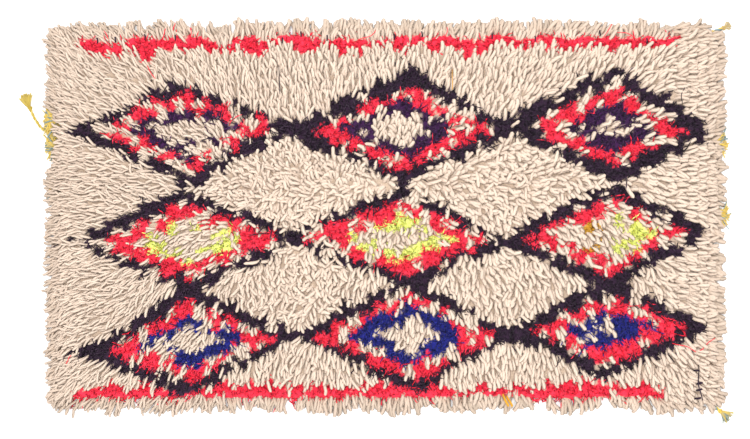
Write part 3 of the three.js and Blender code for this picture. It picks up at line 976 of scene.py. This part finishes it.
def ends_at(x, y, z, length, slopes, vary):
    """Numbers for yarn ends that show at these places and start at height z."""
    n = len(x)
    heading, settled = lie_of_pile(x, y)
    loose = 1 - settled
    scatter = vary["heading"][0] + vary["heading"][1] * loose + vary["heading"][2] * np.cos(heading) ** 2
    rim, heading, reach = in_locks(x, y, heading + rng.normal(0, 1, n) * scatter)
    calm = 1 - RIM_CALM * rim
    root_slope = slopes["root"] + rng.normal(0, vary["slope"], n) * calm - RIM_FALL["root"] * rim
    tip_slope = slopes["tip"] + rng.normal(0, vary["slope"], n) * calm - RIM_FALL["tip"] * rim
    length = length * rng.uniform(1 - vary["length"], 1 + vary["length"], n)
    back = SHOWN_SHARE * level_reach(length, root_slope, tip_slope) - reach
    root_x, root_y = x - back * np.cos(heading), y - back * np.sin(heading)
    return {
        "root": np.stack([root_x, root_y, np.broadcast_to(z, (n,))], axis=1) * MM,
        "heading": heading,
        "slope_root": root_slope,
        "slope_tip": tip_slope,
        "length": length * MM,
        "bend": rng.normal(0, 1, n) * (vary["bend"][0] + vary["bend"][1] * loose),
        "wave": rng.normal(0, 1, n) * (vary["wave"][0] + vary["wave"][1] * loose),
        "phase": rng.uniform(0, 2 * np.pi, n),
        "stout": rng.uniform(*STOUT_RANGE, n) * (1 + vary["stout"] * loose),
        # ends near the rim drop below tone 0, into painted shade
        "tone": rng.uniform(0.0, 1.0, n) - vary["painted_rim_shade"] * rim,
    }


def some(ends, mask):
    """The ends that a mask chooses."""
    return {key: value[mask] for key, value in ends.items()}


# %% Keeping cream clear of wool
TIP_OVER_WOOL = dict(lozenges=(-3.0, 7.0), lines=(0.0, 34.0))
LINES_BEYOND = 330.0
SHORTEST_SHARE = 0.72
WOOL_STEPS = 8


def clear_of_wool(ends):
    """Shortens and draws back ends that would lie far over dyed wool, so that only their tips show on it."""
    reach = level_reach(ends["length"] / MM, ends["slope_root"], ends["slope_tip"])
    ahead_x, ahead_y = reach * np.cos(ends["heading"]), reach * np.sin(ends["heading"])
    root_x, root_y = ends["root"][:, 0] / MM, ends["root"][:, 1] / MM
    over_the_end = np.abs(root_x + ahead_x) > WOOL_ENDS_AT
    stop = np.ones(len(reach))
    for part in np.linspace(1.0, SHOWN_SHARE, WOOL_STEPS):
        on_wool = chart(root_x + part * ahead_x, root_y + part * ahead_y) != CREAM
        stop = np.where(on_wool & ~over_the_end, part, stop)
    over_lines = rng.uniform(*TIP_OVER_WOOL["lines"], len(reach))
    over_lozenges = rng.uniform(*TIP_OVER_WOOL["lozenges"], len(reach))
    over = np.where(np.abs(root_y) > LINES_BEYOND, over_lines, over_lozenges)
    share = np.where(stop < 1, np.minimum(stop + over / reach, 1), 1)
    shorter = np.maximum(share, SHORTEST_SHARE)
    ends["length"] *= shorter
    ends["root"][:, 0] -= (shorter - share) * ahead_x * MM
    ends["root"][:, 1] -= (shorter - share) * ahead_y * MM
    return ends


# %% Cream ends
CREAM_YARN = dict(Segments=5, Sides=4, Radius=2.65 * MM, Flattening=0.36, Turns=0.0, Floor=3.6 * MM)
CREAM_LENGTH = (35.5, 46.0)
SHORT_AMONG_WOOL = 0.84
CREAM_SLOPES = dict(root=1.3, tip=-0.2)
STANDING_TIP = 0.35
CREAM_VARY = dict(
    # heading, bend and wave: the scatter of settled yarn, and how much loose yarn adds to it
    # the last number of heading is what yarn that lies along the rug adds
    heading=(0.085, 0.1, 0.12), slope=0.1, length=0.1, bend=(0.14, 0.21), wave=(0.05, 0.1),
    # at the rim the tone drops by the last number, into painted shade
    stout=0.26, painted_rim_shade=1.0,
)
# no cream lies over the left end here, so that its tufts show
FREE_FOR_END_YARN = dict(x=-722.0, from_y=118.0, to_y=230.0)
MOST_ENDS = 3600
LAYERS = [
    # down: how much lower its roots are; aside and back: its shift, as a share of the room of one end
    # band: how far in from the rim the layer goes
    dict(name="upper", down=0.0, aside=0.0, back=0.0, band=1000.0),
    dict(name="rim", down=4.0, aside=0.5, back=0.2, band=70.0),
]


def cream_layer(layer):
    """The numbers of a layer's ends."""
    heading, settled = lie_of_pile(place_x, place_y)
    aside, back = layer["aside"] * ROOM_BESIDE * stoutness(place_x), layer["back"] * ROOM_ALONG[1]
    x = place_x - back * np.cos(heading) - aside * np.sin(heading)
    y = place_y - back * np.sin(heading) + aside * np.cos(heading)
    free_y = (y > FREE_FOR_END_YARN["from_y"]) & (y < FREE_FOR_END_YARN["to_y"])
    free = (x < FREE_FOR_END_YARN["x"]) & free_y
    in_band = np.minimum(HALF_LENGTH - np.abs(x), HALF_WIDTH - np.abs(y)) < layer["band"]
    here = (chart(x, y) == CREAM) & in_band & ~free
    x, y, settled = x[here], y[here], settled[here]
    length = CREAM_LENGTH[0] + (CREAM_LENGTH[1] - CREAM_LENGTH[0]) * settled
    length = np.where(in_lozenge(x, y), SHORT_AMONG_WOOL, 1.0) * length
    slopes = {**CREAM_SLOPES, "tip": CREAM_SLOPES["tip"] + (1 - settled) * STANDING_TIP}
    ends = ends_at(x, y, GROUND_TOP - layer["down"], length, slopes, CREAM_VARY)
    ends["stout"] *= stoutness(x)
    return clear_of_wool(ends)


for layer in LAYERS:
    ends = cream_layer(layer)
    parts = math.ceil(len(ends["length"]) / MOST_ENDS)
    part_of = ((ends["root"][:, 0] / MM / HALF_LENGTH + 1) / 2 * parts).astype(int)
    part_of = np.clip(part_of, 0, parts - 1)
    for part in range(parts):
        name = f"cotton_{layer['name']}_{part + 1}"
        pieces[name] = grow(name, some(ends, part_of == part), YARN_MATERIALS[CREAM], **CREAM_YARN)

# %% [markdown]
# ## Dyed wool
# Wool knots fray into soft mats. The bed already has their colour and lumps, so the strands only have to
# break up its surface: thin, short and curling, a little longer than the lumps are apart.

# %% Mats of wool
WOOL_YARN = dict(Segments=3, Sides=3, Radius=1.5 * MM, Flattening=0.0, Turns=0.5, Floor=3.0 * MM)
WOOL_LENGTH, WOOL_SUNK = 18.0, 2.0
WOOL_PITCH, WOOL_JITTER = (6.6, 5.0), 0.5
WOOL_SLOPES = dict(root=0.7, tip=-0.1)
WOOL_VARY = dict(
    heading=(0.7, 0.6, 0.0), slope=0.3, length=0.35, bend=(0.5, 0.0), wave=(0.2, 0.0), stout=0.0, painted_rim_shade=0.0
)
wool_x, wool_y = rows_of_places(*WOOL_PITCH, WOOL_JITTER)
wool_dye = chart(wool_x, wool_y)
for dye in (BLACK, RED, PURPLE, LIME, BLUE, ORANGE):
    x, y = wool_x[wool_dye == dye], wool_y[wool_dye == dye]
    mat = ends_at(x, y, bed_height(x, y) - WOOL_SUNK, WOOL_LENGTH, WOOL_SLOPES, WOOL_VARY)
    name = YARN_NAMES[dye] + "_pile"
    pieces[name] = grow(name, mat, YARN_MATERIALS[dye], **WOOL_YARN)

# %% [markdown]
# ## Twined ends, loose yarn and tassels
# Each short end is bound by two rows of twining in yellow and blue-grey wool, which show where the pile
# parts. Tufts of that wool stand out at places, one loose yarn lies beside the left end, and two corners have
# a tassel. The routes are those of the part.

# %% Yarns of the ends
END_DYES = dict(
    twined_yarn=dict(low=(0.72, 0.5, 0.09), high=(0.14, 0.24, 0.28), root=(0.6, 0.42, 0.1)),
    yellow_yarn=dict(low=(0.46, 0.335, 0.055), high=(0.58, 0.445, 0.12), root=(0.42, 0.3, 0.05)),
    faded_yarn=dict(low=(0.5, 0.36, 0.14), high=(0.52, 0.44, 0.3), root=(0.46, 0.33, 0.12)),
)
TWINED, YELLOW, FADED = (yarn_material(name, **dye) for name, dye in END_DYES.items())
THREAD = dict(Segments=4, Sides=4, Radius=1.4 * MM, Flattening=0.0, Turns=0.0, Floor=1.8 * MM)
SLOPE_SCATTER = 0.12
STRAND_STOUT = (0.7, 1.2)


def strands_of(root, heading, length, slopes, bend, tone):
    """Numbers for loose strands from given places."""
    n = len(heading)
    return {
        "root": root * MM,
        "heading": heading,
        "slope_root": np.full(n, slopes[0]) + rng.normal(0, SLOPE_SCATTER, n),
        "slope_tip": np.full(n, slopes[1]) + rng.normal(0, SLOPE_SCATTER, n),
        "length": length * MM,
        "bend": rng.normal(0, bend, n),
        "wave": rng.normal(0, 0.5 * bend, n),
        "phase": rng.uniform(0, 2 * np.pi, n),
        "stout": rng.uniform(*STRAND_STOUT, n),
        "tone": tone,
    }


print("yarns of the ends:", [m.name for m in (TWINED, YELLOW, FADED)])

# %% Twined ends and their tufts
TWINING_BEYOND_GROUND = (2.1, 5.6)
TWINING_HEIGHT, TWINING_POINTS = 1.9, 201
TWINING_YARN = dict(Plies=2, Pitch=12 * MM, Step=2.4 * MM, Sides=4, Radius=0.92 * MM, Winding=0.88 * MM)
TUFT_ROOT, TUFT_HEIGHTS, TUFT_SLOPES, TUFT_BEND = 714, (2, 6), (0.35, -0.35), 0.45
LATEST_START, TUFT_LENGTHS = 0.6, (0.8, 1.1)
TUFT_FAN, TUFT_TURN = 0.25, 0.5
TEAL_SHARE, TEAL_TONE, YELLOW_TONE = 0.25, 0.9, (0, 0.25)
END_TUFTS = [
    dict(end=-1, y=210, width=32, reach=36, strands=150),
    dict(end=-1, y=157, width=20, reach=34, strands=90),
    dict(end=-1, y=136, width=8, reach=24, strands=30),
    dict(end=-1, y=50, width=7, reach=30, strands=16),
    dict(end=1, y=161, width=8, reach=42, strands=34),
    dict(end=1, y=5, width=9, reach=45, strands=38),
]


def tuft_strands(tuft):
    """The numbers of a tuft's strands, which start along it and turn aside more towards its tip."""
    n, end = tuft["strands"], tuft["end"]
    start = rng.uniform(0, LATEST_START, n)
    y = tuft["y"] + rng.uniform(-0.5, 0.5, n) * tuft["width"]
    root = np.stack([end * (TUFT_ROOT + start * tuft["reach"]), y, rng.uniform(*TUFT_HEIGHTS, n)], axis=1)
    heading = 0 if end > 0 else np.pi
    heading = heading + rng.normal(0, TUFT_FAN, n) + rng.normal(0, TUFT_TURN, n) * start
    tone = np.where(rng.uniform(0, 1, n) < TEAL_SHARE, TEAL_TONE, rng.uniform(*YELLOW_TONE, n))
    length = tuft["reach"] * (1 - start) * rng.uniform(*TUFT_LENGTHS, n)
    return strands_of(root, heading, length, TUFT_SLOPES, TUFT_BEND, tone)


def joined(batches):
    """Batches of strands as one."""
    return {key: np.concatenate([b[key] for b in batches]) for key in batches[0]}


for end, side in ((-1, "left"), (1, "right")):
    name = f"end_twining_{side}"
    y = np.linspace(-GROUND_HALF[1], GROUND_HALF[1], TWINING_POINTS)
    row_x = [end * (GROUND_HALF[0] + beyond) for beyond in TWINING_BEYOND_GROUND]
    rows = [np.column_stack(np.broadcast_arrays(x, y, TWINING_HEIGHT)) for x in row_x]
    pieces[name] = wind(name + "_rows", rows, TWINED, **TWINING_YARN)
    tufts = joined([tuft_strands(tuft) for tuft in END_TUFTS if tuft["end"] == end])
    pieces[name + "_tufts"] = grow(name + "_tufts", tufts, TWINED, **THREAD)

# %% Loose yarn and tassels
TASSELS = [
    # route: from the twining to the knot; toward and spread: the fan of the frayed end, in degrees
    dict(
        name="loose_yarn_left", yarn=YELLOW, fray=YELLOW, length=34, toward=115, spread=27, strands=70,
        route=[(-719.6, 174), (-729, 174), (-742, 184.5), (-757, 195), (-772, 216), (-782.5, 238.5)],
    ),
    dict(
        name="corner_tassel_far_right", yarn=TWINED, fray=FADED, length=17, toward=26, spread=32, strands=40,
        route=[(715.8, 400.3), (715.8, 405), (728, 409), (747, 416)],
    ),
    dict(
        name="corner_tassel_near_right", yarn=TWINED, fray=TWINED, length=30, toward=-38, spread=28,
        strands=40, route=[(715.8, -400.3), (715.8, -406), (724, -416), (738, -428)],
    ),
]
YARN_HEIGHT, ROUTE_STEPS = 3.5, 12
LOOSE_YARN = dict(Plies=2, Pitch=20 * MM, Step=2 * MM, Sides=6, Radius=1.8 * MM, Winding=1.6 * MM)
KNOT_YARN = dict(Plies=1, Pitch=10 * MM, Step=1.4 * MM, Sides=6, Radius=1.6 * MM, Winding=0.0)
KNOT_SIZE, KNOT_RISE, KNOT_MIDDLE, KNOT_POINTS = 1.45, 2.7, 4.4, 49
FRAY_HEIGHTS, FRAY_LENGTHS, FRAY_SLOPES, FRAY_BEND = (2, 5), (0.75, 1.05), (0.25, -0.25), 0.12


def smooth_route(points, height):
    """A smooth level path through points."""
    points = [np.array(p, float) for p in points]
    points = [2 * points[0] - points[1], *points, 2 * points[-1] - points[-2]]
    path = []
    for a, b, c, d in zip(points, points[1:], points[2:], points[3:]):
        square, cube = 2 * a - 5 * b + 4 * c - d, 3 * b - a - 3 * c + d
        for t in np.linspace(0, 1, ROUTE_STEPS, endpoint=False):
            path.append(0.5 * (2 * b + (c - a) * t + square * t**2 + cube * t**3))
    path.append(points[-2])
    return np.column_stack([path, np.full(len(path), height)])


def overhand_knot(middle):
    """The path of a tight overhand knot around a place."""
    t = np.linspace(0, 2 * np.pi, KNOT_POINTS)
    x = middle[0] + KNOT_SIZE * (np.sin(t) + 2 * np.sin(2 * t))
    y = middle[1] + KNOT_SIZE * (np.cos(t) - 2 * np.cos(2 * t))
    return np.stack([x, y, KNOT_MIDDLE - KNOT_RISE * np.sin(3 * t)], axis=1)


def frayed_end(tassel):
    """The numbers of the strands that fan out from a tassel's knot."""
    n = tassel["strands"]
    heading = np.radians(tassel["toward"] + tassel["spread"] * rng.uniform(-1, 1, n))
    root = np.column_stack([np.tile(tassel["route"][-1], (n, 1)), rng.uniform(*FRAY_HEIGHTS, n)])
    length = tassel["length"] * rng.uniform(*FRAY_LENGTHS, n)
    return strands_of(root, heading, length, FRAY_SLOPES, FRAY_BEND, rng.uniform(0, 1, n))


for tassel in TASSELS:
    name, fray = tassel["name"], tassel["fray"]
    route, knot = smooth_route(tassel["route"], YARN_HEIGHT), overhand_knot(tassel["route"][-1])
    pieces[name] = wind(name + "_yarn", [route], tassel["yarn"], **LOOSE_YARN)
    pieces[name + "_knot"] = wind(name + "_knot", [knot], fray, **KNOT_YARN)
    pieces[name + "_fray"] = grow(name + "_fray", frayed_end(tassel), fray, **THREAD)

# %% [markdown]
# ## Stray threads
# A used rug carries loose threads on its pile. Each is one long thin yarn end, from a short table. Short
# black bits along the upper red line are made the same way, but they are painted shade: they stand for small
# dark holes in the pile.

# %% Stray threads
PILE_TOP = 29.0
STRAY_THREAD = dict(Segments=12, Sides=5, Radius=0.9 * MM, Flattening=0.0, Turns=0.0, Floor=5 * MM)
STRAY_SLOPES, STRAY_SCATTER, STRAY_TONE = (0.12, -0.06), 0.1, 0.3
STRAYS = {
    # x, y, heading in degrees, length, bend, stoutness
    BLACK: [
        (649, 240, 84, 44, 0.1, 1.0),
        (686, -325, -90, 78, 0.02, 1.5),
        (674, -336, -10, 14, 0.1, 2.2),
        (681, -366, 5, 14, 0.1, 2.8),
        (680, -380, 5, 14, 0.1, 2.8),
        (676, -398, 0, 15, 0.1, 2.8),
        (-232, 332, -89, 66, 0.02, 1.0),
        (-330, 250, -100, 40, 0.15, 1.0),
        (60, 330, -70, 30, 0.3, 1.0),
        (30, 60, -80, 28, 0.2, 1.0),
        (-330, -250, 20, 30, 0.3, 1.0),
    ],
    RED: [
        (628, -277, -14, 56, -0.05, 1.0),
        (722, -266, 212, 44, 0.1, 1.0),
        (-698, -322, 56, 22, 0.1, 1.0),
        (-520, 330, -65, 34, 0.1, 1.0),
        (-605, 388, 112, 22, 0.1, 1.0),
        (-486, 386, 84, 26, -0.2, 1.0),
        (-427, 386, 72, 24, 0.2, 1.0),
        (-60, 386, 14, 44, 0.2, 1.0),
        (130, 388, 62, 26, 0.3, 1.0),
        (246, 396, -6, 46, -0.2, 1.0),
        (476, 390, 52, 38, 0.1, 1.0),
        (508, 402, 12, 40, -0.6, 1.0),
    ],
    ORANGE: [
        (258, -388, -72, 30, 0.1, 3.0),
        (266, -392, -66, 28, 0.1, 3.0),
        (147, 322, -91, 46, 0.03, 1.0),
    ],
}
# short black bits along the upper red line: painted shade that stands for small dark holes in the pile
HOLE_SHADE_BIT = dict(heading=80, length=13, bend=0.2, stout=2.0)
HOLE_SHADE_BITS = [
    (-629, 378), (-590, 380), (-525, 386), (-459, 384), (-225, 379), (-184, 392), (-127, 384),
    (20, 386), (81, 392), (234, 388), (328, 382), (470, 394), (573, 378),
]
STRAYS[BLACK] += [(*place, *HOLE_SHADE_BIT.values()) for place in HOLE_SHADE_BITS]
for dye, rows in STRAYS.items():
    x, y, heading, length, bend, stout = np.array(rows, float).T
    root = np.stack([x, y, np.full(len(rows), PILE_TOP)], axis=1)
    tone = np.full(len(rows), STRAY_TONE)
    threads = strands_of(root, np.radians(heading), length, STRAY_SLOPES, STRAY_SCATTER, tone)
    threads.update(bend=bend, stout=stout)
    name = "stray_" + YARN_NAMES[dye]
    pieces[name] = grow(name, threads, YARN_MATERIALS[dye], **STRAY_THREAD)

# %% [markdown]
# ## Floor, light and camera
# The rug lies on a plain white floor. One wide soft light hangs nearly overhead, so that the tops of the yarn
# are bright and only the thin gaps between ends are dark. The camera looks straight down.

# %% Floor and light
FLOOR_HALF, FLOOR_WHITE, FLOOR_ROUGHNESS = 6.0, 0.93, 0.9
SKY_STRENGTH = 1.25
LIGHTS = [
    dict(name="overhead", place=(-0.7, 1.0, 4.2), size=2.6, watts=160),
    dict(name="fill", place=(2.4, -1.8, 3.2), size=3.0, watts=40),
]
corners = [(FLOOR_HALF * x, FLOOR_HALF * y, 0) for x, y in ((-1, -1), (1, -1), (1, 1), (-1, 1))]
floor_mesh = bpy.data.meshes.new("floor")
floor_mesh.from_pydata(corners, [], [(0, 1, 2, 3)])
floor = placed("floor", floor_mesh)
paper = bpy.data.materials.new("white_floor")
paper.use_nodes = True
surface = paper.node_tree.nodes["Principled BSDF"].inputs
surface["Base Color"].default_value = (FLOOR_WHITE, FLOOR_WHITE, FLOOR_WHITE, 1)
surface["Roughness"].default_value = FLOOR_ROUGHNESS
floor_mesh.materials.append(paper)

world = bpy.data.worlds.new("studio")
bpy.context.scene.world = world
world.use_nodes = True
sky = world.node_tree.nodes["Background"].inputs
sky["Color"].default_value = (1, 1, 1, 1)
sky["Strength"].default_value = SKY_STRENGTH
for light in LIGHTS:
    data = bpy.data.lights.new(light["name"], "AREA")
    data.size, data.energy = light["size"], light["watts"]
    lamp = placed(light["name"], data)
    lamp.location = light["place"]
    lamp.rotation_euler = (-Vector(light["place"])).to_track_quat("-Z", "Y").to_euler()
bpy.context.scene.view_settings.view_transform = "Standard"
print("lights:", [light["name"] for light in LIGHTS])

# %% Camera
PHOTO_WIDTH = 750
PHOTO_PIXEL = 2.187 * MM
RUG_MIDDLE_PIXEL, PHOTO_MIDDLE_PIXEL = (385.0, 216.5), (375.0, 219.5)
LENS, SENSOR = 70, 36
camera_data = bpy.data.cameras.new("camera")
camera_data.sensor_width = SENSOR
camera_data.sensor_fit = "HORIZONTAL"
camera_data.lens = LENS
camera = placed("camera", camera_data)
camera.location = (
    (PHOTO_MIDDLE_PIXEL[0] - RUG_MIDDLE_PIXEL[0]) * PHOTO_PIXEL,
    (RUG_MIDDLE_PIXEL[1] - PHOTO_MIDDLE_PIXEL[1]) * PHOTO_PIXEL,
    PILE_TOP * MM + PHOTO_WIDTH * PHOTO_PIXEL * LENS / SENSOR,
)
bpy.context.scene.camera = camera
print("camera height, metres:", round(camera.location.z, 3))

# %% [markdown]
# ## Hand over
# Every piece moves with the rug's one body. The bed stands for the pile of the part, and the twining, the
# loose yarn and the tassels for theirs.

# %% Hand over
STANDS_FOR = {"pile_bed": "pile", **{node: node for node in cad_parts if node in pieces}}
SLOTS = {name: name + "_pile" for name in YARN_NAMES}
SLOTS.update(rug="ground_weave", pile="cream_pile", cotton="cream_pile", end="end_twining")
SLOTS.update(loose="yellow_yarn", corner="yellow_yarn", orange="yellow_yarn")
for name, piece in pieces.items():
    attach(piece, "root")
    if name in STANDS_FOR:
        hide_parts(STANDS_FOR[name])
